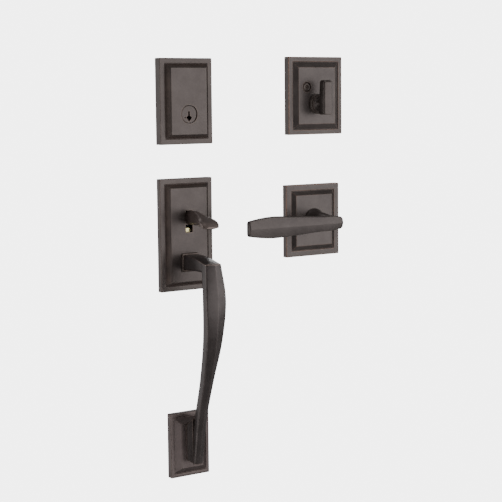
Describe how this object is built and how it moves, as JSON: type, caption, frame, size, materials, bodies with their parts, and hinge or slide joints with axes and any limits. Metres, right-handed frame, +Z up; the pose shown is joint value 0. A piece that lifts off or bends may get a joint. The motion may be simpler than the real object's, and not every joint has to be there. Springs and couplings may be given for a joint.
{
  "type": "front door handleset",
  "caption": "Front door handleset: stepped rectangular covers with a keyed deadbolt, thumb-latch pull, inside thumbturn and inside lever.",
  "frame": {"origin": "outside latch-bore axis on the door face, at the centre of the outside handle cover's back", "axes": "+X right, +Z up along the column of outside trims, +Y into the door; the trims face -Y"},
  "size_m": [0.2618, 0.1197, 0.4963],
  "materials": {
    "bronze": "satin aged bronze",
    "dark_bronze": "satin dark bronze",
    "brass": "bare",
    "steel": "zinc plated",
    "zinc": "as cast"
  },
  "bodies": {
    "trims": {"deadbolt_escutcheon": "bronze", "deadbolt_mounting_plate": "steel", "cylinder_housing": "zinc", "cylinder_body": "bronze", "deadbolt_post_left": "steel", "deadbolt_post_right": "steel", "handle_escutcheon": "bronze", "handle_mounting_plate": "steel", "latch_case": "zinc", "handle_post_left": "steel", "handle_post_right": "steel", "thumb_pivot_pin": "steel", "thumb_return_spring": "steel", "grip_handle": "bronze", "grip_collar": "dark_bronze", "grip_top_screw": "steel", "lower_escutcheon": "bronze", "lower_backing_plate": "steel", "lower_stud": "steel", "lower_nut": "steel", "thumbturn_rose": "bronze", "thumbturn_backing_plate": "steel", "thumbturn_collar": "dark_bronze", "thumbturn_washer": "steel", "rose_screw_left": "dark_bronze", "rose_screw_right": "dark_bronze", "lever_rose": "bronze", "lever_backing_plate": "steel", "lever_bushing": "brass", "lever_spring_housing": "zinc", "lever_return_spring": "steel", "lever_bolt_left": "steel", "lever_bolt_right": "steel"},
    "thumb": {"thumb_piece": "dark_bronze"},
    "lift": {"lift_slide": "zinc"},
    "hub": {"latch_hub": "brass", "hub_clip": "steel"},
    "plug": {"key_plug": "dark_bronze", "plug_clip": "steel", "tailpiece": "zinc"},
    "turn": {"thumbturn": "dark_bronze", "thumbturn_clip": "steel", "thumbturn_spindle": "steel"},
    "lever": {"lever_handle": "bronze", "lever_spindle": "steel", "lever_retaining_ring": "steel", "lever_return_cam": "zinc", "lever_set_screw": "steel"}
  },
  "joints": [
    {"name": "thumb_press", "type": "hinge", "parent": "trims", "child": "thumb", "pos_m": [0, -0.008, 0.02], "axis": [1, 0, 0], "range_deg": [0, 12], "stiffness_Nm_per_rad": 0.5, "springref_deg": -17.19},
    {"name": "lift_rise", "type": "slide", "parent": "trims", "child": "lift", "axis": [0, 0, 1], "range_m": [0, 0.0022]},
    {"name": "hub_turn", "type": "hinge", "parent": "trims", "child": "hub", "pos_m": [0, 0, 0], "axis": [0, -1, 0], "range_deg": [0, 14]},
    {"name": "plug_turn", "type": "hinge", "parent": "trims", "child": "plug", "pos_m": [0, 0, 0.14], "axis": [0, 1, 0], "range_deg": [-90, 90]},
    {"name": "thumbturn_turn", "type": "hinge", "parent": "trims", "child": "turn", "pos_m": [0.186, 0, 0.1497], "axis": [0, 1, 0], "range_deg": [0, 90]},
    {"name": "lever_turn", "type": "hinge", "parent": "trims", "child": "lever", "pos_m": [0.1823, 0, 0.0065], "axis": [0, 1, 0], "range_deg": [-45, 45], "stiffness_Nm_per_rad": 2, "springref_deg": 2.58}
  ],
  "couplings": [
    {"joint": "lift_rise", "follows": "thumb_press", "m_per_rad": 0.01},
    {"joint": "hub_turn", "follows": "thumb_press", "ratio": 1.12}
  ]
}
